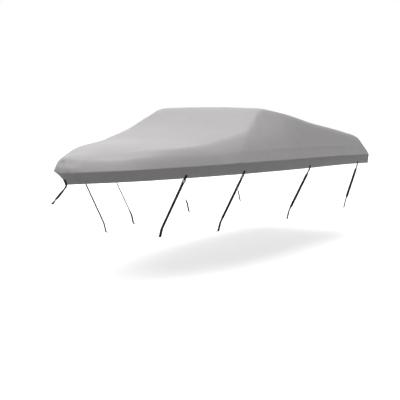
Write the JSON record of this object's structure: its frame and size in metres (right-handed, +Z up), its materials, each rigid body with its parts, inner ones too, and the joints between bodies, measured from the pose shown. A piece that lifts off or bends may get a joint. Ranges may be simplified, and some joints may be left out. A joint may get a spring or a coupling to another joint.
{
  "type": "boat cover",
  "caption": "Fitted cloth cover for a runabout boat, hollow, raised over the windshield, with a tucked-in skirt and webbing tie-down straps on slide buckles.",
  "frame": {"origin": "on the underside of the top, on the centre line, where the cloth rests on the middle of the windshield", "axes": "-X towards the bow, +X towards the stern, -Y port, +Y starboard, +Z up; the cover is as it sits on a level boat"},
  "size_m": [5.5511, 2.14, 1.412],
  "materials": {
    "top_cloth": "matte coated polyester weave, light grey",
    "skirt_cloth": "matte coated polyester weave, light grey",
    "webbing": "black polypropylene webbing, flat weave",
    "buckle_plastic": "moulded black plastic, satin"
  },
  "bodies": {
    "root": {"cover_top": "top_cloth", "cover_skirt": "skirt_cloth", "tab_port_1": "webbing", "tab_port_2": "webbing", "tab_port_3": "webbing", "tab_port_4": "webbing", "tab_star_1": "webbing", "tab_star_2": "webbing", "tab_star_3": "webbing", "tab_star_4": "webbing", "strap_port_1": "webbing", "strap_port_2": "webbing", "strap_port_3": "webbing", "strap_port_4": "webbing", "strap_star_1": "webbing", "strap_star_2": "webbing", "strap_star_3": "webbing", "strap_star_4": "webbing", "strap_bow": "webbing", "buckle_port_1": "buckle_plastic", "buckle_port_2": "buckle_plastic", "buckle_port_3": "buckle_plastic", "buckle_port_4": "buckle_plastic", "buckle_star_1": "buckle_plastic", "buckle_star_2": "buckle_plastic", "buckle_star_3": "buckle_plastic", "buckle_star_4": "buckle_plastic"}
  },
  "joints": []
}
